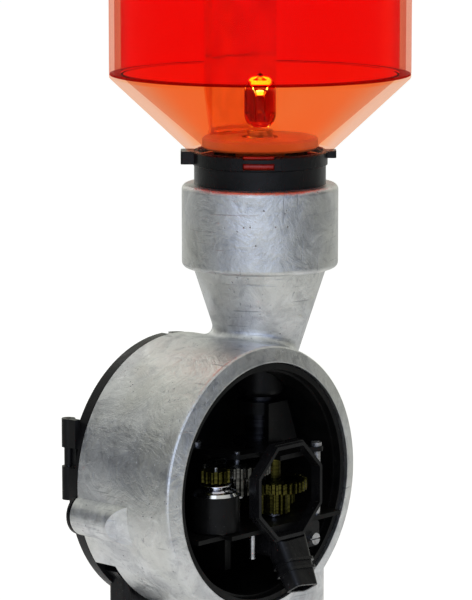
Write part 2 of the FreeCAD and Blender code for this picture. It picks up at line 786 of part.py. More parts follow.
def octagon(flats, y0, y1):
    radius = flats / 2 / math.cos(math.radians(22.5))
    corners = []
    for i in range(8):
        x, z = polar(radius, 22.5 + 45 * i, BEZEL_X, BEZEL_Z)
        corners.append((x, y0, z))
    return face_of(corners).extrude(vec(0, y1 - y0, 0))


def window_bezel():
    """Eight-sided frame in front of the gears, with a thin raised lip."""
    frame = octagon(BEZEL_FLATS, BEZEL_Y[0] + BEZEL_LIP, BEZEL_Y[1])
    lip = octagon(BEZEL_FLATS - 1.6, BEZEL_Y[0], BEZEL_Y[0] + BEZEL_LIP)
    hole = octagon(BEZEL_FLATS - 2 * BEZEL_WALL, BEZEL_Y[0] - 1, BEZEL_Y[1] + 1)
    return fuse([frame, lip]).cut(hole)


def carrier():
    """Back wall, shelf and cheeks of the gear module, moulded in one."""
    second, first, motor = axle_points()
    inside = cyl_y(MODULE_R, MODULE_FRONT_Y - 5, BACK_WALL_Y[1])
    wall = cyl_y(MODULE_R, BACK_WALL_Y[0], BACK_WALL_Y[1])
    shelf = box(RING_X - 45, RING_X + 47, BEZEL_Y[1], BACK_WALL_Y[1], SHELF_Z[0], SHELF_Z[1])
    shelf = shelf.common(inside)
    corner = box(-90, motor[0] - 4, -60, motor[1] - 9, SHELF_Z[0] - 1, SHELF_Z[1] + 1)
    shelf = shelf.cut(corner)
    rib = box(RING_X - 2, RING_X + 2, -6, BACK_WALL_Y[1], RING_Z - 44, SHELF_Z[0])
    column = box(first[0] - 3, first[0] + 3, 4.0, BACK_WALL_Y[1], SHELF_Z[1], PLATE_Z[0])
    body = fuse([wall, shelf, rib, column])
    body = body.cut(cyl(9.6, SHELF_Z[0] - 1, SHELF_Z[1] + 1))
    for centre in (second, first):
        body = body.cut(cyl(AXLE_R, SHELF_Z[0] - 1, SHELF_Z[1] + 1, *centre))
    window = box(RING_X - 36, RING_X - 14, 10, 30, RING_Z - 34, RING_Z - 24)
    return body.cut(window)


def gear_plate():
    """Upper bearing plate, cut close round the axles, on the back wall's ledge."""
    second, first, _ = axle_points()
    arms = [
        cyl(9.0, PLATE_Z[0], PLATE_Z[1], *second),
        cyl(5.0, PLATE_Z[0], PLATE_Z[1], *first),
        cyl(12.0, PLATE_Z[0], PLATE_Z[1]),
        link(second, (0, 0), 9.0),
        link(second, first, 4.6),
        link(second, plate_screw_points()[0], 3.2),
        cyl(3.2, PLATE_Z[0], PLATE_Z[1], *plate_screw_points()[0]),
        link((0, 0), (0, BACK_WALL_Y[0] - 7.2), 7.0),
        link(first, (first[0], BACK_WALL_Y[0] - 5.2), 4.8),
    ]
    front = box(second[0] - 12, second[0] + 8, BEZEL_Y[1], second[1], PLATE_Z[0], PLATE_Z[1])
    body = fuse(arms + [front])
    for centre in (second, first):
        body = body.cut(cyl(AXLE_R, PLATE_Z[0] - 1, PLATE_Z[1] + 1, *centre))
    for x, y in plate_screw_points():
        body = body.cut(cyl(1.5, PLATE_Z[0] - 1, PLATE_Z[1] + 1, x, y))
    return body.cut(cyl(TUBE_R + 0.8, PLATE_Z[0] - 1, PLATE_Z[1] + 1))


def link(a, b, half):
    length = math.hypot(b[0] - a[0], b[1] - a[1])
    bar = box(0, length, -half, half, PLATE_Z[0], PLATE_Z[1])
    bar.rotate(vec(0, 0, 0), Z, direction(a, b))
    bar.translate(vec(a[0], a[1], 0))
    return bar


def plate_screw_points():
    second, first, _ = axle_points()
    return ((second[0] + 17.0, BEZEL_Y[1] + 3.6), (first[0], BACK_WALL_Y[0] - 8.0))


def plate_pillars():
    """Steel pillars: one from shelf to plate, one standing under the shelf."""
    tall = plate_screw_points()[0]
    upper = cyl(2.0, SHELF_Z[1], PLATE_Z[0], *tall)
    lower = cyl(1.3, SHELF_Z[0] - 12.0, SHELF_Z[0], RING_X - 10.0, BEZEL_Y[1] + 4.0)
    return group([upper, lower])


def plate_screws():
    screws = []
    for x, y in plate_screw_points():
        head = cyl(2.6, PLATE_Z[1], PLATE_Z[1] + 1.8, x, y)
        slot = box(x - 3, x + 3, y - 0.35, y + 0.35, PLATE_Z[1] + 0.9, PLATE_Z[1] + 3)
        shank = cyl(1.45, PLATE_Z[0], PLATE_Z[1], x, y)
        screws.append(fuse([head.cut(slot), shank]))
    x, z = SIDE_SCREW
    head = cyl_y(2.8, BEZEL_Y[1] - 2.4, BEZEL_Y[1], x, z)
    slot = box(x - 4, x + 4, BEZEL_Y[1] - 3, BEZEL_Y[1] - 1.4, z - 0.35, z + 0.35)
    screws.append(head.cut(slot))
    return group(screws)


def tube_bracket():
    """Steady for the drive tube: a web with one slanting side and a ring."""
    z0 = PLATE_Z[1]
    web = face_of([
        (-7.0, -12.0, z0),
        (13.0, -12.0, z0),
        (6.0, -12.0, z0 + 19.0),
        (-7.0, -12.0, z0 + 19.0),
    ]).extrude(vec(0, 2.4, 0))
    foot = box(-7.0, 9.0, -12.0, -8.2, z0, z0 + 2.4)
    ring = tube(10.6, TUBE_R + 0.6, z0 + 13.0, z0 + 19.0)
    arm = box(-5.0, 5.0, -11.0, -8.0, z0 + 13.0, z0 + 19.0)
    shape = fuse([web, foot, arm, ring])
    return shape.cut(cyl(TUBE_R + 0.6, z0 - 1, z0 + 20))


def neck_guide():
    """Plastic guide in the neck with a rounded nose inside the housing."""
    low = RING_Z + 34.5
    high = RING_Z + 84.0
    seat_z = RING_Z + 57.0
    inner = TUBE_R + 0.8
    nose_r = 3.2
    profile = [(inner, low)] + arc_points(inner, low + nose_r, nose_r, -80, 0, 5) + [
        (inner + nose_r, seat_z),
        (NECK_BORE_R - 0.05, seat_z),
        (NECK_BORE_R - 0.05, high),
        (NECK_BORE_R - 2.0, high),
        (NECK_BORE_R - 2.0, seat_z + 3),
        (inner, seat_z + 3),
    ]
    return lathe_z(profile)


def ring_liner():
    """Black lining of the round housing, with a raised band at its mouth."""
    body = lathe_y([
        (LINER_BORE_R, LINER_Y[0] + 3.4),
        (LINER_BORE_R, LINER_Y[1]),
        (LINER_R, LINER_Y[1]),
        (LINER_R, LINER_Y[0] + 0.5),
        (LINER_R - 0.5, LINER_Y[0]),
        (LINER_BORE_R + 1.4, LINER_Y[0]),
        (LINER_BORE_R + 1.0, LINER_Y[0] + 3.4),
    ])
    body = body.cut(cyl(TUBE_R + 4.9, RING_Z, RING_Z + 80))
    return body


def connector_shroud():
    """Open plug housing that hangs down and forward from the module."""
    outer = plug_outside()
    hole = rounded_section_solid(PLUG_HOLE_TOP, PLUG_HOLE_END, PLUG_HOLE_LENGTH)
    hole.translate(vec(0, 0, -PLUG_HOLE_START))
    shell = outer.cut(hole)
    shell = place_connector(fuse([shell, connector_ridge()]))
    return shell.cut(octagon(BEZEL_FLATS + 0.4, BEZEL_Y[0] - 5, BEZEL_Y[1] + 0.1))


def plug_outside():
    return rounded_section_solid(PLUG_TOP, PLUG_END, PLUG_LENGTH)


def rounded_section_solid(size0, size1, depth):
    """Tapered block with round corners, going down from the origin."""
    top = rounded_section(*size0)
    end = rounded_section(*size1)
    end.translate(vec(0, 0, -depth))
    return Part.makeLoft([top, end], True)


def connector_ridge():
    rings = []
    for depth in PLUG_RIDGES:
        share = depth / PLUG_LENGTH
        width = PLUG_TOP[0] + (PLUG_END[0] - PLUG_TOP[0]) * share + 1.6
        thick = PLUG_TOP[1] + (PLUG_END[1] - PLUG_TOP[1]) * share + 1.6
        section = rounded_section(width, thick)
        section.translate(vec(0, 0, -depth))
        rim = Part.Face(section).extrude(vec(0, 0, -1.4))
        hole = rounded_section(12.4, 7.8)
        hole.translate(vec(0, 0, -depth + 1))
        rings.append(rim.cut(Part.Face(hole).extrude(vec(0, 0, -4))))
    return group(rings)


def rounded_section(width, thick):
    """Closed wire of a rectangle with round corners."""
    r = min(width, thick) * 0.28
    x = width / 2 - r
    y = thick / 2 - r
    edges = []
    corners = ((x, y, 0), (-x, y, 90), (-x, -y, 180), (x, -y, 270))
    points = []
    for cx, cy, start in corners:
        points.append([polar(r, start + step, cx, cy) for step in (0, 45, 90)])
    for i, arc in enumerate(points):
        a, b, c = [vec(px, py, 0) for px, py in arc]
        edges.append(Part.Arc(a, b, c).toShape())
        following = points[(i + 1) % 4][0]
        edges.append(Part.LineSegment(c, vec(following[0], following[1], 0)).toShape())
    return Part.Wire(edges)


def place_connector(shape):
    shape.rotate(vec(0, 0, 0), vec(1, 0, 0), -PLUG_TILT_DEG)
    shape.rotate(vec(0, 0, 0), Y, PLUG_LEAN_DEG)
    shape.translate(vec(RING_X + 9.0, BEZEL_Y[1] + 2.0, RING_Z - 25.5))
    return shape


def connector_pins():
    pins = []
    for x in PLUG_PIN_X:
        pins.append(Part.makeBox(1.2, 0.8, 12.0, vec(x - 0.6, -0.4, -21.0)))
    return place_connector(group(pins))


def connector_block():
    """Block that carries the plug housing under the bezel."""
    block = box(RING_X - 3.0, RING_X + 32.0, BEZEL_Y[1], BEZEL_Y[1] + 10.0, RING_Z - 33.0, SHELF_Z[0])
    edges = [e for e in block.Edges if e.BoundBox.YLength > 5]
    socket = place_connector(plug_outside())
    return rounded(block, edges, 2.0).cut(socket)


# ---------------------------------------------------------------- rear

def rear_gasket():
    whole = tube_y(RIM_R - 0.2, RING_BORE_R + 0.6, RING_HALF, RING_HALF + GASKET_H)
    whole = whole.cut(wedge_y(NOTCH_DEG[0] - 2, NOTCH_DEG[1] + 2, RING_HALF - 1, RING_HALF + 2))
    for degrees in SCREW_DEG:
        cx, cz = polar(screw_radius(degrees), degrees, RING_X, RING_Z)
        whole = whole.cut(cyl_y(FRAME_SCREW_CORE_R + 0.3, RING_HALF - 1, RING_HALF + 3, cx, cz))
    return whole


def rear_frame():
    """Black frame behind the housing: rim, skirt, hinge knuckles and cable spout."""
    front = RING_HALF + GASKET_H
    rim = tube_y(RIM_R, SKIRT_R - SKIRT_WALL, front, RIM_BACK_Y)
    rim = rim.cut(cyl_y(COVER_SEAT_R, COVER_Y[0] - 0.5, RIM_BACK_Y + 1))
    skirt = tube_y(SKIRT_R, SKIRT_R - SKIRT_WALL, SKIRT_FRONT_Y, front + 0.5)
    ears = []
    for degrees in BOSS_DEG:
        cx, cz = polar(BOSS_CENTRE_R, degrees, RING_X, RING_Z)
        ears.append(cyl_y(BOSS_R, front, COVER_Y[0] - 0.6, cx, cz))
    knuckles = []
    for z0, z1 in KNUCKLES_Z:
        roll = cyl(KNUCKLE_R, z0, z1, HINGE_X, HINGE_Y)
        leg = box(HINGE_X - 2.2, HINGE_X + 1.0, front + 3.0, HINGE_Y, z0, z1)
        knuckles.append(fuse([roll, leg]))
    apron = tube_y(RING_R - 2.6, SKIRT_R - SKIRT_WALL, SKIRT_FRONT_Y - 0.3, front + 0.5)
    apron = apron.common(wedge_y(NOTCH_DEG[0] + 8, NOTCH_DEG[1] - 2, 0, 40, 75))
    apron = apron.cut(cyl(SPIGOT_R + 0.5, 0, RING_Z))
    body = fuse([rim, skirt, apron, cable_spout()] + ears + knuckles)
    body = body.cut(spout_duct(SPOUT_Z[0] - 1, SPOUT_Z[1]))
    body = body.cut(cyl_y(SKIRT_R - SKIRT_WALL, 10, RIM_BACK_Y + 9))
    body = body.cut(cyl_y(COVER_SEAT_R, COVER_Y[0] - 0.5, RIM_BACK_Y + 1))
    gap_z0 = COVER_KNUCKLE_Z[0] - 0.3
    gap_z1 = COVER_KNUCKLE_Z[1] + 0.3
    gap = box(HINGE_X - 6, HINGE_X + 8, COVER_Y[0] - 0.6, 50, gap_z0, gap_z1)
    body = body.cut(gap)
    body = body.cut(cyl(HINGE_PIN_R, KNUCKLES_Z[0][0] - 1, KNUCKLES_Z[1][1] + 1, HINGE_X, HINGE_Y))
    for degrees in SCREW_DEG:
        cx, cz = polar(screw_radius(degrees), degrees, RING_X, RING_Z)
        body = body.cut(cyl_y(FRAME_SCREW_CORE_R + 0.3, front - 1, RIM_BACK_Y + 1, cx, cz))
        body = body.cut(cyl_y(3.9, frame_screw_seat(), RIM_BACK_Y + 1, cx, cz))
    lug = cyl_y(5.0, front - 1.0, COVER_Y[0] - 0.5, COVER_SCREW_X)
    body = fuse([body, lug.common(cyl_y(SKIRT_R, 20, 40))])
    return body.cut(cyl_y(COVER_SCREW_R + 0.7, 20, 50, COVER_SCREW_X))


def cable_spout():
    """Rounded box that runs down from the frame, clear of the liner."""
    spout = box(SPOUT_X[0], SPOUT_X[1], SPOUT_Y[0], SPOUT_Y[1], SPOUT_Z[0], SPOUT_Z[1])
    spout = rounded(spout, [e for e in spout.Edges if e.BoundBox.ZLength > 10], 3.0)
    spout = spout.cut(cyl_y(LINER_R + 0.4, 0, LINER_Y[1] + 0.4))
    return spout.cut(cyl_y(SKIRT_R - 1.0, 0, 40))


def spout_duct(z0, z1):
    """The space inside the spout between two heights."""
    x0, x1 = SPOUT_X
    y0, y1 = SPOUT_Y
    return box(x0 + SPOUT_WALL, x1 - SPOUT_WALL, y0 + SPOUT_WALL, y1 - SPOUT_WALL, z0, z1)


def frame_screw_seat():
    return COVER_Y[0] - FRAME_SCREW_HEAD_H - 0.1


def frame_screws():
    screws = []
    seat = frame_screw_seat()
    for degrees in SCREW_DEG:
        cx, cz = polar(screw_radius(degrees), degrees, RING_X, RING_Z)
        head = cyl_y(3.5, seat, seat + FRAME_SCREW_HEAD_H, cx, cz)
        slot = box(cx - 5, cx + 5, seat + 0.8, seat + 3, cz - 0.4, cz + 0.4)
        shank = cyl_y(FRAME_SCREW_CORE_R, FRAME_SCREW_HOLE_Y + 1.0, seat, cx, cz)
        screws.append(fuse([head.cut(slot), shank]))
    return group(screws)


def hinge_pin():
    return cyl(HINGE_PIN_R, KNUCKLES_Z[0][0] + 0.4, KNUCKLES_Z[1][1] - 0.4, HINGE_X, HINGE_Y)


def rear_cover():
    """Dished door with a raised edge, radial ribs and one hinge knuckle."""
    y0, y1 = COVER_Y
    disc = cyl_y(COVER_R, y0, y1)
    dish = cyl_y(COVER_R - 5.0, y1 - COVER_DISH, y1 + 1)
    disc = disc.cut(dish)
    ribs = []
    for i in range(COVER_RIBS):
        rib = box(0, COVER_R - 4.0, y1 - COVER_DISH, y1, -1.1, 1.1)
        rib.rotate(vec(0, 0, 0), vec(0, -1, 0), (i + 0.5) * 360.0 / COVER_RIBS)
        rib.translate(vec(RING_X, 0, RING_Z))
        ribs.append(rib)
    hub = tube_y(COVER_HUB_R[0], COVER_HUB_R[1], y1 - COVER_DISH, y1)
    spigot = tube_y(COVER_SPIGOT_R[0], COVER_SPIGOT_R[1], y0 - 3.0, y0 + 0.5)
    z0, z1 = COVER_KNUCKLE_Z
    roll = cyl(COVER_KNUCKLE_R, z0, z1, HINGE_X, HINGE_Y)
    arm = box(HINGE_X, HINGE_X + 9.0, y1 - 1.2, HINGE_Y + 1.4, z0, z1)
    pad = cyl_y(5.6, y1 - COVER_DISH, y1 + 0.4, COVER_SCREW_X)
    body = fuse([disc, hub, spigot, roll, arm, pad] + ribs)
    body = body.cut(cyl(HINGE_PIN_R + 0.06, z0 - 1, z1 + 1, HINGE_X, HINGE_Y))
    body = body.cut(cyl_y(8.0, 10, y0, COVER_SCREW_X))
    return body.cut(cyl_y(COVER_SCREW_R + 0.1, y0 - 5, y1 + 3, COVER_SCREW_X))


def cover_seal():
    """Rubber cord in the cover's edge."""
    whole = tube_y(SKIRT_R + 0.4, SKIRT_R - 2.2, COVER_Y[0] - 0.4, COVER_Y[0])
    return whole.cut(cyl_y(6.0, 28, 40, COVER_SCREW_X))


def cover_screw():
    """Captive slotted screw opposite the hinge."""
    y1 = COVER_Y[1] + 0.4
    x = COVER_SCREW_X
    head = cyl_y(5.2, y1, y1 + 2.4, x)
    slot = box(x - 6, x + 6, y1 + 1.2, y1 + 4, RING_Z - 0.6, RING_Z + 0.6)
    shank = cyl_y(COVER_SCREW_R, COVER_Y[0] - 4.4, y1, x)
    return fuse([head.cut(slot), shank])


def spout_grommet():
    """Rubber grommet in the cable spout's mouth."""
    low = SPOUT_Z[0]
    plug = spout_duct(low, low + GROMMET_H)
    return plug.cut(cyl(CABLE_R, low - 1, low + GROMMET_H + 1, sum(SPOUT_X) / 2, sum(SPOUT_Y) / 2))


def make_all():
    second, first, _ = axle_points()
    save("head_casting", head_casting())
    save("grub_screws", grub_screws())
    save("collar", collar())
    save("collar_seal", collar_seal())
    save("upper_bush", upper_bush())
    save("lens_funnel", lens_funnel())
    save("seam_seal", seam_seal())
    save("lens_dome", lens_dome())
    save("filter_sleeve", filter_sleeve())
    save("drive_tube", drive_tube())
    save("turntable", turntable())
    save("reflector", reflector())
    save("reflector_screws", reflector_screws())
    save("bulb_post", bulb_post())
    save("bulb_holder", bulb_holder())
    save("bulb_base", bulb_base())
    save("bulb_glass", bulb_glass())
    save("filament", filament())
    save("output_gear", output_gear())
    save("second_wheel", second_wheel())
    save("second_pinion", second_pinion())
    save("second_axle", axle(second, PLATE_Z[1] + 0.6))
    save("first_wheel", first_wheel())
    save("first_pinion", first_pinion())
    save("first_axle", axle(first, PLATE_Z[1] + 0.6))
    save("axle_clips", axle_clips())
    save("motor_pinion", motor_pinion())
    save("motor_shaft", motor_shaft())
    save("motor_can", motor_can())
    save("motor_end_bell", motor_end_bell())
    save("lower_bush", lower_bush())
    save("window_bezel", window_bezel())
    save("carrier", carrier())
    save("gear_plate", gear_plate())
    save("plate_pillars", plate_pillars())
    save("plate_screws", plate_screws())
    save("tube_bracket", tube_bracket())
    save("neck_guide", neck_guide())
    save("ring_liner", ring_liner())
    save("connector_block", connector_block())
    save("connector_shroud", connector_shroud())
    save("connector_pins", connector_pins())
    save("rear_gasket", rear_gasket())
    save("rear_frame", rear_frame())
    save("frame_screws", frame_screws())
    save("hinge_pin", hinge_pin())
    save("rear_cover", rear_cover())
    save("cover_seal", cover_seal())
    save("cover_screw", cover_screw())
    save("spout_grommet", spout_grommet())


os.makedirs("parts", exist_ok=True)
make_all()
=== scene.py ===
import bpy
import json
import math
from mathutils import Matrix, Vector


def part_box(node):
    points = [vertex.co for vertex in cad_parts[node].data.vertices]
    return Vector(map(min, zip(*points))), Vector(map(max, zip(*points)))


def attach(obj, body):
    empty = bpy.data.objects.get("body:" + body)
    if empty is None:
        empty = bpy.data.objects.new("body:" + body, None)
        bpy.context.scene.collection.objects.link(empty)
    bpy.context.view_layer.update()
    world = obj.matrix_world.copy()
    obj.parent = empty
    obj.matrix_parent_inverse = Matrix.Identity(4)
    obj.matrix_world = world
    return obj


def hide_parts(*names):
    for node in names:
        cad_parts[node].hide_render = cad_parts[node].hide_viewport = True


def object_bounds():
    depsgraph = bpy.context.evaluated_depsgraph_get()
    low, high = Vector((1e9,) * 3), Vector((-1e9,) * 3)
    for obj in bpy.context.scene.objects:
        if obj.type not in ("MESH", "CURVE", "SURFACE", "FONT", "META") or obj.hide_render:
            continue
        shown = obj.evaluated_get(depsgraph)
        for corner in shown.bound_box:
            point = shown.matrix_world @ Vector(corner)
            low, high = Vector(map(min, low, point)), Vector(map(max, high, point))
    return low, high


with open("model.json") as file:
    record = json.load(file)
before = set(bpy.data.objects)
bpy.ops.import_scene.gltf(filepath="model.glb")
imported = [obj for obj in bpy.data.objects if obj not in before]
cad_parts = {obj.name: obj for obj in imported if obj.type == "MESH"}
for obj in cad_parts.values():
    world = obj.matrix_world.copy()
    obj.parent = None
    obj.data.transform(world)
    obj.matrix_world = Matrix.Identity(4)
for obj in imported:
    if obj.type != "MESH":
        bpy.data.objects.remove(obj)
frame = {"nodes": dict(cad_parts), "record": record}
CAD_LOW, CAD_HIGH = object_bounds()

# Metres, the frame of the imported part: origin at the pole socket's mouth, +Z up, open front towards -Y.

# ---------------------------------------------------------------- materials


class Finish:
    """One procedural material around a Principled shader, in the object's own coordinates."""

    def __init__(self, name, **sockets):
        self.material = bpy.data.materials.new(name)
        self.material.use_nodes = True
        self.tree = self.material.node_tree
        self.shader = self.tree.nodes["Principled BSDF"]
        coords = self.tree.nodes.new("ShaderNodeTexCoord")
        self.here = coords.outputs["Object"]
        for socket, value in sockets.items():
            self.shader.inputs[socket.replace("_", " ")].default_value = value

    def node(self, kind, **links):
        made = self.tree.nodes.new(kind)
        for name, value in links.items():
            self.set(made.inputs[name.replace("_", " ")], value)
        return made

    def set(self, socket, value):
        if isinstance(value, bpy.types.NodeSocket):
            self.tree.links.new(value, socket)
        else:
            socket.default_value = value

    def place(self, stretch=(1, 1, 1), turn=(0, 0, 0)):
        mapping = self.node("ShaderNodeMapping", Vector=self.here)
        mapping.inputs["Scale"].default_value = stretch
        mapping.inputs["Rotation"].default_value = turn
        return mapping.outputs[0]

    def noise(self, scale, detail=3.0, rough=0.55, stretch=(1, 1, 1), turn=(0, 0, 0), warp=0.0):
        made = self.node("ShaderNodeTexNoise", Vector=self.place(stretch, turn), Scale=scale)
        made.inputs["Detail"].default_value = detail
        made.inputs["Roughness"].default_value = rough
        made.inputs["Distortion"].default_value = warp
        return made.outputs["Fac"]

    def cells(self, scale, stretch=(1, 1, 1)):
        made = self.node("ShaderNodeTexVoronoi", Vector=self.place(stretch), Scale=scale)
        return made.outputs["Distance"]

    def span(self, value, low, high, to_low=0.0, to_high=1.0):
        made = self.node("ShaderNodeMapRange", Value=value)
        made.interpolation_type = "SMOOTHSTEP"
        for name, number in (("From Min", low), ("From Max", high), ("To Min", to_low), ("To Max", to_high)):
            made.inputs[name].default_value = number
        return made.outputs["Result"]

    def calc(self, operation, first, second=0.0):
        made = self.tree.nodes.new("ShaderNodeMath")
        made.operation = operation
        self.set(made.inputs[0], first)
        self.set(made.inputs[1], second)
        return made.outputs[0]

    def blend(self, factor, first, second):
        made = self.tree.nodes.new("ShaderNodeMix")
        made.data_type = "RGBA"
        self.set(made.inputs["Factor"], factor)
        for socket, value in ((made.inputs[6], first), (made.inputs[7], second)):
            self.set(socket, value if isinstance(value, bpy.types.NodeSocket) else (*value, 1.0))
        return made.outputs[2]

    def colour(self, value):
        self.set(self.shader.inputs["Base Color"], value)
        return self

    def roughness(self, value):
        self.set(self.shader.inputs["Roughness"], value)
        return self

    def bump(self, *layers):
        """Each layer is (height socket, depth in metres)."""
        normal = None
        for height, depth in layers:
            made = self.node("ShaderNodeBump", Height=height)
            made.inputs["Strength"].default_value = 1.0
            made.inputs["Distance"].default_value = depth
            if normal:
                self.tree.links.new(normal, made.inputs["Normal"])
            normal = made.outputs[0]
        self.tree.links.new(normal, self.shader.inputs["Normal"])
        return self


def cast_aluminium():
    """Bead-blasted casting: flow mottles, dark stains, pits, drag marks and fine grain."""
    f = Finish("cast_aluminium", Metallic=1.0)
    cloud = f.noise(52, 7, 0.66, warp=0.9)
    patch = f.noise(190, 6, 0.62, warp=0.5)
    grain = f.noise(1500, 3, 0.6)
    tint = f.noise(24, 3, 0.5)
    base = f.blend(f.span(cloud, 0.36, 0.62), (0.56, 0.57, 0.59), (0.80, 0.81, 0.82))
    base = f.blend(f.span(tint, 0.42, 0.62, 0.0, 0.5), base, (0.72, 0.72, 0.66))
    base = f.blend(f.span(patch, 0.34, 0.5, 0.36, 0.0), base, (0.34, 0.35, 0.375))
    base = f.blend(f.span(f.noise(95, 5, 0.7, warp=1.2), 0.56, 0.68, 0.0, 0.4), base, (0.93, 0.94, 0.95))
    base = f.blend(f.span(grain, 0.3, 0.7, 0.0, 0.18), base, (0.9, 0.91, 0.92))
    pit_zone = f.span(f.noise(60, 3), 0.5, 0.62)
    pits = f.calc("MULTIPLY", f.span(f.cells(330), 0.16, 0.05), pit_zone)
    base = f.blend(f.calc("MULTIPLY", pits, 0.8), base, (0.13, 0.13, 0.14))
    marks = f.calc("MULTIPLY", f.span(f.noise(9, 2, 0.5, (3, 3, 130), (0.16, 0.08, 0)), 0.64, 0.69),
                   f.span(f.noise(34, 2), 0.5, 0.6))
    gouges = f.calc("MULTIPLY", f.span(f.noise(7, 2, 0.5, (120, 90, 5), (0.1, 0.3, 0.2)), 0.66, 0.71),
                    f.span(f.noise(40, 2, 0.5, (1, 1, 1), (1, 0, 0)), 0.53, 0.62))
    scratches = f.calc("MAXIMUM", marks, gouges)
    base = f.blend(f.calc("MULTIPLY", scratches, 0.4), base, (0.2, 0.21, 0.24))
    f.colour(base)
    rough = f.span(patch, 0.3, 0.7, 0.33, 0.43)
    f.roughness(f.calc("ADD", rough, f.span(grain, 0.3, 0.7, -0.04, 0.05)))
    return f.bump((cloud, 0.0009), (patch, 0.00026), (grain, 0.00006),
                  (f.calc("SUBTRACT", 1.0, pits), 0.00025), (f.calc("SUBTRACT", 1.0, scratches), 0.00008))


def moulded(name, dark, light, rough, level=0.5, dust=0.0):
    """Injection-moulded plastic: fine spark texture, flow clouds, a little dust."""
    f = Finish(name)
    f.shader.inputs["Specular IOR Level"].default_value = level
    cloud = f.noise(70, 4, 0.6, warp=0.4)
    grain = f.noise(2300, 2, 0.5)
    base = f.blend(f.span(cloud, 0.35, 0.65), dark, light)
    specks = f.calc("MULTIPLY", f.span(f.noise(900, 2, 0.7), 0.66, 0.74), f.span(f.noise(50, 3), 0.45, 0.6))
    base = f.blend(f.calc("MULTIPLY", specks, dust), base, (0.22, 0.21, 0.2))
    f.colour(base)
    smear = f.noise(120, 4, 0.65, (1, 1, 0.3), warp=0.8)
    f.roughness(f.span(smear, 0.3, 0.7, rough[0], rough[1]))
    return f.bump((cloud, 0.00035), (grain, 0.00003))


def rubber(name):
    f = Finish(name)
    f.shader.inputs["Specular IOR Level"].default_value = 0.3
    cloud = f.noise(160, 4, 0.6)
    grain = f.noise(1400, 3, 0.6)
    f.colour(f.blend(f.span(cloud, 0.3, 0.7), (0.012, 0.012, 0.013), (0.028, 0.027, 0.026)))
    f.roughness(f.span(grain, 0.3, 0.7, 0.62, 0.8))
    return f.bump((cloud, 0.0002), (grain, 0.00006))


def clear_plastic(name, pale, deep, edge=None, gloss=0.12):
    """Clear tinted moulding: slow ripples, faint haze and scuffs, deeper where it is seen edge on."""
    f = Finish(name, Transmission_Weight=1.0, IOR=1.0, Coat_Weight=gloss, Coat_Roughness=0.06)
    cloud = f.noise(22, 3, 0.5)
    ripple = f.noise(30, 2, 0.5, (1, 1, 0.25))
    base = f.blend(f.span(cloud, 0.35, 0.65), pale, deep)
    if edge:
        facing = f.node("ShaderNodeLayerWeight", Blend=0.5).outputs["Facing"]
        base = f.blend(f.span(facing, 0.5, 0.75), base, edge)
    f.colour(base)
    scuff = f.span(f.noise(8, 2, 0.5, (6, 6, 160), (0.2, 0.1, 0)), 0.7, 0.74)
    f.roughness(f.calc("ADD", f.span(ripple, 0.3, 0.7, 0.01, 0.035), f.calc("MULTIPLY", scuff, 0.08)))
    return f.bump((ripple, 0.00012), (f.noise(900, 2), 0.000003))


def turned_metal(name, low, high, rough, grain=0.00004, dark=(0.1, 0.09, 0.08)):
    """Machined metal: fine tool lines, stains and a grain."""
    f = Finish(name, Metallic=1.0)
    stain = f.noise(60, 4, 0.6, warp=0.5)
    lines = f.noise(6, 3, 0.6, (12, 12, 150))
    base = f.blend(f.span(lines, 0.35, 0.65), low, high)
    base = f.blend(f.span(stain, 0.56, 0.7, 0.0, 0.5), base, dark)
    f.colour(base)
    f.roughness(f.span(stain, 0.3, 0.7, rough[0], rough[1]))
    return f.bump((lines, grain), (f.noise(1300, 2), grain))


def mirror_finish():
    f = Finish("mirror", Metallic=1.0)
    haze = f.noise(80, 4, 0.6)
    f.colour(f.blend(f.span(haze, 0.3, 0.7), (0.86, 0.5, 0.26), (0.95, 0.6, 0.34)))
    f.roughness(f.span(f.noise(200, 3), 0.35, 0.7, 0.04, 0.12))
    return f.bump((f.noise(28, 2), 0.0002))


def lamp_glass():
    """Red-dipped envelope with a clear tip over the filament."""
    f = Finish("bulb_glass", Transmission_Weight=1.0, IOR=1.2)
    height = f.node("ShaderNodeSeparateXYZ", Vector=f.here).outputs["Z"]
    dip = f.calc("ADD", height, f.span(f.noise(90, 2), 0.2, 0.8, -0.0012, 0.0012))
    streak = f.span(f.noise(60, 3, 0.6, (1, 1, 0.3)), 0.35, 0.65)
    coated = f.blend(streak, (0.42, 0.008, 0.006), (0.78, 0.03, 0.012))
    f.colour(f.blend(f.span(dip, BULB_DIP_Z - 0.0015, BULB_DIP_Z + 0.0015), coated, (0.98, 0.94, 0.88)))
    f.roughness(f.span(f.noise(400, 3), 0.4, 0.7, 0.02, 0.12))
    return f.bump((f.noise(120, 2), 0.00006))


def glint_glow_wire():
    """Coil whose glow is a painted yellow highlight at the tip of the bulb, far greener than a real one so
    that it comes out yellow through the red filter.
    """
    f = Finish("filament", Metallic=0.6)
    f.colour(f.blend(f.span(f.noise(2500, 2), 0.3, 0.7), (0.4, 0.36, 0.3), (0.6, 0.55, 0.45)))
    f.roughness(f.span(f.noise(1500, 2), 0.3, 0.7, 0.35, 0.55))
    # Painted highlight: this emission stands in for the yellow glint at the top of the bulb.
    f.shader.inputs["Emission Color"].default_value = (0.3, 1.0, 0.2, 1.0)
    f.shader.inputs["Emission Strength"].default_value = 160.0
    return f


BULB_DIP_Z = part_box("bulb_glass")[1].z - 0.0075

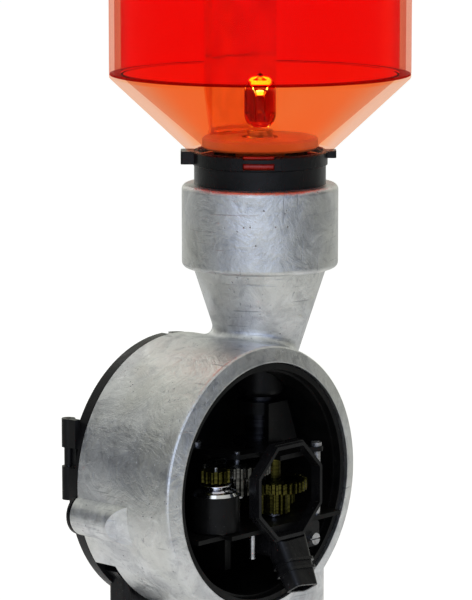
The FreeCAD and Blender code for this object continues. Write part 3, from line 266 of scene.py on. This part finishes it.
FINISHES = {
    "cast_aluminium": cast_aluminium(),
    "black_plastic": moulded("black_plastic", (0.003, 0.003, 0.0035), (0.008, 0.0075, 0.008), (0.22, 0.4),
                             level=0.25, dust=0.25),
    "ivory_plastic": moulded("ivory_plastic", (0.62, 0.52, 0.44), (0.72, 0.62, 0.52), (0.3, 0.5)),
    "black_rubber": rubber("black_rubber"),
    "lens_clear_orange": clear_plastic("lens_clear_orange", (0.93, 0.37, 0.16), (0.93, 0.34, 0.13),
                                       edge=(0.85, 0.48, 0.34)),
    "lens_outer_skin": clear_plastic("lens_outer_skin", (0.93, 0.46, 0.32), (0.93, 0.43, 0.29),
                                      edge=(0.76, 0.30, 0.21)),
    "lens_red_filter": clear_plastic("lens_red_filter", (0.985, 0.016, 0.001), (0.98, 0.011, 0.001),
                                     gloss=0.0),
    "seam_dark": clear_plastic("seam_dark", (0.46, 0.012, 0.008), (0.36, 0.008, 0.006), gloss=0.0),
    "mirror": mirror_finish(),
    "steel": turned_metal("steel", (0.42, 0.42, 0.43), (0.62, 0.62, 0.63), (0.24, 0.42)),
    "polished_steel": turned_metal("polished_steel", (0.66, 0.66, 0.68), (0.86, 0.86, 0.88), (0.08, 0.2),
                                   grain=0.00001),
    "bronze": turned_metal("bronze", (0.42, 0.24, 0.1), (0.62, 0.38, 0.18), (0.26, 0.45)),
    "gear_brass": turned_metal("gear_brass", (0.04, 0.036, 0.008), (0.10, 0.09, 0.02), (0.2, 0.4),
                               dark=(0.006, 0.006, 0.003)),
    "nickel_brass": turned_metal("nickel_brass", (0.56, 0.5, 0.38), (0.78, 0.72, 0.58), (0.2, 0.36)),
    "bulb_glass": lamp_glass(),
    "filament": glint_glow_wire(),
    "black_steel": turned_metal("black_steel", (0.02, 0.02, 0.022), (0.045, 0.045, 0.05), (0.3, 0.5),
                                dark=(0.01, 0.01, 0.01)),
}
LUG_RED = moulded("lug_red", (0.34, 0.01, 0.005), (0.46, 0.014, 0.007), (0.2, 0.35))
# Darker copy of the polished steel on the first wheel and pinion inside the housing: painted shade.
SHADED_GEAR_STEEL = turned_metal("gear_steel_painted_shade", (0.05, 0.05, 0.045), (0.16, 0.155, 0.14), (0.16, 0.3),
                     dark=(0.02, 0.018, 0.01))
SHADED_GEAR_NODES = ("first_wheel", "first_pinion")
# Darker copy of the black moulding for the pieces inside the housing: its darkness is painted shade, with a
# little dust.
PAINTED_SHADE_BLACK = moulded("inside_painted_shade", (0.002, 0.002, 0.002), (0.006, 0.0055, 0.005), (0.3, 0.5),
                 level=0.18, dust=0.15)
PAINTED_SHADE_NODES = ("carrier", "neck_guide", "tube_bracket", "motor_can", "gear_plate", "ring_liner")

for entry in frame["record"]["materials"]:
    if entry["slot"] not in FINISHES:
        raise ValueError("no finish for slot " + entry["slot"])

for node_name, obj in frame["nodes"].items():
    for held in obj.material_slots:
        key = held.material.name.split(".")[0]
        finish = FINISHES.get(key)
        if finish is None:
            raise ValueError("node " + node_name + " holds " + key)
        # Pieces inside the housing take darker copies as painted shade, in place of their own finishes.
        if node_name in PAINTED_SHADE_NODES:
            finish = PAINTED_SHADE_BLACK
        elif node_name in SHADED_GEAR_NODES:
            finish = SHADED_GEAR_STEEL
        held.material = finish.material

FRONT_DEG = -47.84            # where the key light and the camera stand, as an azimuth
LUG_DEG = (221.0, 341.0, 101.0)        # middles of the lens's bayonet lugs, about the lens axis
LUG_HALF_DEG = 13.5
FLOOR_SEEN = 0.68             # floor emission towards the camera, straight or through the lens
FLOOR_NEAR = 0.36             # floor emission towards the metal, beside the object


def heading(azimuth_deg):
    a = math.radians(azimuth_deg)
    return Vector((math.sin(a), -math.cos(a), 0.0))


# ---------------------------------------------------------------- pieces


def add_piece(name, points, faces, finish, slot_name, body):
    mesh = bpy.data.meshes.new(name)
    mesh.from_pydata(points, [], faces)
    mesh.materials.append(finish.material)
    for face in mesh.polygons:
        face.use_smooth = True
    made = bpy.data.objects.new(name, mesh)
    bpy.context.scene.collection.objects.link(made)
    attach(made, body)
    return made


def turned_ring(outline, spokes):
    """Points and faces of a closed outline of (radius, height) turned about the lens axis."""
    points, faces = [], []
    count = len(outline)
    for s in range(spokes):
        a = 2 * math.pi * s / spokes
        points += [(r * math.cos(a), r * math.sin(a), z) for r, z in outline]
        for k in range(count):
            here, along = s * count, ((s + 1) % spokes) * count
            n = (k + 1) % count
            faces.append((here + k, along + k, along + n, here + n))
    return points, faces


def turned_arc(outline, start_deg, end_deg, steps):
    """A closed outline turned through part of a circle, closed at its ends."""
    points, faces = [], []
    count = len(outline)
    for s in range(steps + 1):
        a = math.radians(start_deg + (end_deg - start_deg) * s / steps)
        points += [(r * math.cos(a), r * math.sin(a), z) for r, z in outline]
    for s in range(steps):
        for k in range(count):
            n = (k + 1) % count
            faces.append((s * count + k, (s + 1) * count + k, (s + 1) * count + n, s * count + n))
    faces.append(tuple(range(count)))
    faces.append(tuple(steps * count + k for k in range(count))[::-1])
    return points, faces


def rod(path, radius, sides):
    """Points and faces of a round wire along a path of points, closed at both ends."""
    points, faces = [], []
    for i, p in enumerate(path):
        along = (path[min(i + 1, len(path) - 1)] - path[max(i - 1, 0)]).normalized()
        side = along.orthogonal().normalized() if i == 0 else (side - along * side.dot(along)).normalized()
        up = along.cross(side)
        for k in range(sides):
            a = 2 * math.pi * k / sides
            points.append(tuple(p + side * (radius * math.cos(a)) + up * (radius * math.sin(a))))
    for i in range(len(path) - 1):
        for k in range(sides):
            n = (k + 1) % sides
            faces.append((i * sides + k, i * sides + n, (i + 1) * sides + n, (i + 1) * sides + k))
    faces.append(tuple(range(sides))[::-1])
    faces.append(tuple((len(path) - 1) * sides + k for k in range(sides)))
    return points, faces


def joined(*shapes):
    points, faces = [], []
    for more_points, more_faces in shapes:
        start = len(points)
        points += more_points
        faces += [tuple(start + i for i in face) for face in more_faces]
    return points, faces


def seam_piece():
    """The seal between the lens halves: a thin collar that falls a little towards the outside."""
    low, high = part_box("seam_seal")
    outer = high.x - 0.0002
    inner = outer - 0.0052
    thick = 0.00025
    outline = ((inner, high.z - thick), (outer, low.z), (outer, low.z + thick), (inner, high.z))
    made = add_piece("seam_lip", *turned_ring(outline, 160), FINISHES["seam_dark"], "seam_dark", "lens")
    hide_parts("seam_seal")


def lug_pieces():
    """Red faces of the bayonet lugs, seen through the collar's windows."""
    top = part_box("collar")[1].z
    inner, outer = 0.0302, 0.03052         # just proud of the lugs, inside the collar's grooves
    for i, middle in enumerate(LUG_DEG):
        for k, (z0, z1) in enumerate(((top - 0.0056, top - 0.0031), (top - 0.001, top + 0.0003))):
            outline = ((inner, z0), (outer, z0), (outer, z1), (inner, z1))
            points, faces = turned_arc(outline, middle - LUG_HALF_DEG, middle + LUG_HALF_DEG, 24)
            add_piece("lug_face_%d_%d" % (i, k), points, faces, LUG_RED, "lens_red_filter", "lens")


def filament_piece():
    """Coiled wire across the tip of the bulb, on two hooked supports."""
    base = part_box("filament")[0].z
    across = heading(FRONT_DEG + 90.0)
    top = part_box("bulb_glass")[1].z - 0.0043
    half, coil_r, turns, steps = 0.0044, 0.0013, 13, 14
    coil = []
    for i in range(turns * steps + 1):
        a = 2 * math.pi * i / steps
        along = across * (half * (2.0 * i / (turns * steps) - 1.0))
        ring = heading(FRONT_DEG) * (coil_r * math.cos(a)) + Vector((0, 0, coil_r * math.sin(a)))
        coil.append(along + ring + Vector((0, 0, top)))
    bead = [Vector((0, 0, top - 0.0062)), Vector((0, 0, top - 0.0053)), Vector((0, 0, top - 0.0044))]
    # The coil and its bead glow as a painted highlight at the bulb's tip.
    glint_glow_mesh = joined(rod(coil, 0.00036, 6), rod(bead, 0.0016, 12))
    made = add_piece("filament_coil", *glint_glow_mesh, FINISHES["filament"], "filament", "head")
    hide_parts("filament")
    legs = []
    for sign in (-1, 1):
        leg = across * (half * sign)
        foot = across * (0.0022 * sign)
        path = [foot + Vector((0, 0, base)), foot + Vector((0, 0, top - 0.006)), leg + Vector((0, 0, top))]
        legs.append(rod(path, 0.0003, 8))
    add_piece("filament_legs", *joined(*legs), FINISHES["steel"], "filament", "head")


def motor_nose():
    """Polished dished nose around the motor's shaft, on its end bell."""
    shaft_low, shaft_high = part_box("motor_shaft")
    floor_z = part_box("motor_end_bell")[1].z
    roof_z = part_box("motor_pinion")[0].z - 0.0004
    middle = (shaft_low + shaft_high) / 2.0
    bore = (shaft_high.x - shaft_low.x) / 2.0 + 0.0006
    tall = roof_z - floor_z
    outline = [(bore, floor_z - 0.0003), (0.0072, floor_z - 0.0003)]
    for i in range(9):
        spread = (0.0064 - bore) * (1 - i / 8) ** 1.8
        outline.append((bore + 0.0008 + spread, floor_z + tall * i / 8))
    outline += [(bore, roof_z)]
    points, faces = turned_ring(outline, 96)
    points = [(x + middle.x, y + middle.y, z) for x, y, z in points]
    add_piece("motor_nose", points, faces, FINISHES["polished_steel"], "polished_steel", "head")


# ---------------------------------------------------------------- studio

scene = bpy.context.scene
scene.view_settings.view_transform = "Standard"
scene.cycles.max_bounces = 28          # a sight line crosses up to six clear walls
scene.cycles.transmission_bounces = 28

WHITE_SWEEP = (1.0, 1.0, 1.0, 1.0)


def make_world():
    """A white surround where it is seen directly or through the lens, and a soft tent of light elsewhere."""
    world = bpy.data.worlds.new("studio")
    world.use_nodes = True
    tree = world.node_tree
    back = tree.nodes["Background"]
    coords = tree.nodes.new("ShaderNodeTexCoord")

    def facing(vector):
        dot = tree.nodes.new("ShaderNodeVectorMath")
        dot.operation = "DOT_PRODUCT"
        tree.links.new(coords.outputs["Generated"], dot.inputs[0])
        dot.inputs[1].default_value = vector
        return dot.outputs["Value"]

    def ramp(source, stops):
        spread = tree.nodes.new("ShaderNodeMapRange")
        spread.inputs["From Min"].default_value = -1.0
        tree.links.new(source, spread.inputs["Value"])
        made = tree.nodes.new("ShaderNodeValToRGB")
        made.color_ramp.interpolation = "EASE"
        while len(made.color_ramp.elements) < len(stops):
            made.color_ramp.elements.new(0.5)
        for element, (at, colour) in zip(made.color_ramp.elements, stops):
            element.position = (at + 1.0) / 2.0
            element.color = (*colour, 1.0)
        tree.links.new(spread.outputs["Result"], made.inputs[0])
        return made.outputs["Color"]

    around = ramp(facing(heading(FRONT_DEG)), (
        (-1.0, (0.60, 0.61, 0.54)),
        (-0.6, (0.42, 0.42, 0.37)),
        (-0.05, (0.05, 0.05, 0.055)),
        (0.45, (0.05, 0.06, 0.095)),
        (0.85, (0.40, 0.49, 0.74)),
        (1.0, (0.95, 1.1, 1.5)),
    ))
    above = ramp(facing(Vector((0, 0, 1))), (
        (-1.0, (0.0, 0.0, 0.0)),
        (0.25, (0.0, 0.0, 0.0)),
        (0.75, (1.0, 1.0, 1.0)),
        (1.0, (1.0, 1.0, 1.0)),
    ))
    tent = tree.nodes.new("ShaderNodeMix")
    tent.data_type = "RGBA"
    tree.links.new(above, tent.inputs["Factor"])
    tree.links.new(around, tent.inputs[6])
    tent.inputs[7].default_value = (0.6, 0.61, 0.57, 1.0)
    path = tree.nodes.new("ShaderNodeLightPath")
    straight = tree.nodes.new("ShaderNodeMath")
    straight.operation = "MAXIMUM"
    tree.links.new(path.outputs["Is Camera Ray"], straight.inputs[0])
    tree.links.new(path.outputs["Is Transmission Ray"], straight.inputs[1])
    pick = tree.nodes.new("ShaderNodeMix")
    pick.data_type = "RGBA"
    tree.links.new(straight.outputs[0], pick.inputs["Factor"])
    tree.links.new(tent.outputs[2], pick.inputs[6])
    pick.inputs[7].default_value = WHITE_SWEEP
    tree.links.new(pick.outputs[2], back.inputs["Color"])
    scene.world = world


def make_floor():
    """One seamless pale sweep: even where it is seen, and a soft uneven light where metal reflects it."""
    mesh = bpy.data.meshes.new("floor")
    rings, spokes, reach = 14, 64, 9.0
    points = [(0.0, 0.0, 0.0)]
    for ring in range(1, rings + 1):
        radius = reach * (ring / rings) ** 2
        for spoke in range(spokes):
            a = 2 * math.pi * spoke / spokes
            points.append((radius * math.cos(a), radius * math.sin(a), 0.0))
    faces = [(0, 1 + s, 1 + (s + 1) % spokes) for s in range(spokes)]
    for ring in range(rings - 1):
        low = 1 + ring * spokes
        for s in range(spokes):
            t = (s + 1) % spokes
            faces.append((low + s, low + spokes + s, low + spokes + t, low + t))
    mesh.from_pydata(points, [], faces)
    floor = bpy.data.objects.new("floor", mesh)
    floor.location.z = CAD_LOW.z - 0.0004
    scene.collection.objects.link(floor)
    f = Finish("pale_floor")
    f.colour(f.blend(f.span(f.noise(3, 3), 0.3, 0.7), (0.60, 0.60, 0.59), (0.63, 0.63, 0.62)))
    f.roughness(0.85)
    f.shader.inputs["Emission Color"].default_value = WHITE_SWEEP
    path = f.tree.nodes.new("ShaderNodeLightPath")
    straight = f.calc("MAXIMUM", path.outputs["Is Camera Ray"], path.outputs["Is Transmission Ray"])
    spot = f.node("ShaderNodeSeparateXYZ", Vector=f.here).outputs
    away = f.calc("SQRT", f.calc("ADD", f.calc("MULTIPLY", spot["X"], spot["X"]),
                                 f.calc("MULTIPLY", spot["Y"], spot["Y"])))
    ahead = heading(FRONT_DEG)
    toward = f.calc("DIVIDE", f.calc("ADD", f.calc("MULTIPLY", spot["X"], ahead.x),
                                     f.calc("MULTIPLY", spot["Y"], ahead.y)), f.calc("MAXIMUM", away, 0.001))
    far = f.calc("ADD", f.span(toward, 0.75, 1.0, 0.0, 0.22), f.span(toward, -0.3, -0.9, 0.0, 0.2))
    reached = f.span(away, 0.15, 0.5)
    near = f.calc("MULTIPLY", f.calc("SUBTRACT", 1.0, reached), FLOOR_NEAR)
    level = f.calc("ADD", near, f.calc("MULTIPLY", reached, far))
    seen = f.calc("MULTIPLY", straight, FLOOR_SEEN)
    f.set(f.shader.inputs["Emission Strength"], f.calc("MAXIMUM", level, seen))
    mesh.materials.append(f.material)


def soft_light(name, azimuth, height, distance, size, watts, colour):
    data = bpy.data.lights.new(name, "AREA")
    data.shape = "RECTANGLE"
    data.size, data.size_y = size
    data.energy = watts
    data.color = colour
    lamp = bpy.data.objects.new(name, data)
    target = Vector((-0.01, 0.0, 0.19))
    lamp.location = target + heading(azimuth) * distance + Vector((0, 0, height))
    lamp.rotation_mode = "QUATERNION"
    lamp.rotation_quaternion = (target - lamp.location).to_track_quat("-Z", "Y")
    lamp.visible_camera = False
    lamp.visible_transmission = False
    scene.collection.objects.link(lamp)


def make_camera():
    """Stands at the viewing angle: beside and in front of the open housing, a little above it."""
    data = bpy.data.cameras.new("camera")
    data.lens = 194.6
    data.sensor_width = 36.0
    camera = bpy.data.objects.new("camera", data)
    camera.location = (-1.1120, -1.0067, 0.4244)
    aim = Vector((0.72707, 0.66814, -0.15800))
    camera.rotation_mode = "QUATERNION"
    camera.rotation_quaternion = aim.to_track_quat("-Z", "Y")
    data.clip_start, data.clip_end = 0.01, 60.0
    scene.collection.objects.link(camera)
    scene.camera = camera


seam_piece()
lug_pieces()
filament_piece()
motor_nose()
make_world()
make_floor()
make_camera()
soft_light("key", FRONT_DEG - 10, 0.62, 1.1, (0.5, 0.9), 1.3, (0.78, 0.87, 1.0))
soft_light("rim_right", FRONT_DEG + 150, 0.5, 1.2, (0.35, 1.0), 0.35, (1.0, 0.99, 0.94))
soft_light("rim_left", FRONT_DEG - 150, 0.45, 1.2, (0.3, 1.0), 0.8, (1.0, 0.99, 0.94))
soft_light("top", FRONT_DEG + 180, 1.3, 0.35, (0.8, 0.8), 1.2, (1.0, 1.0, 0.97))
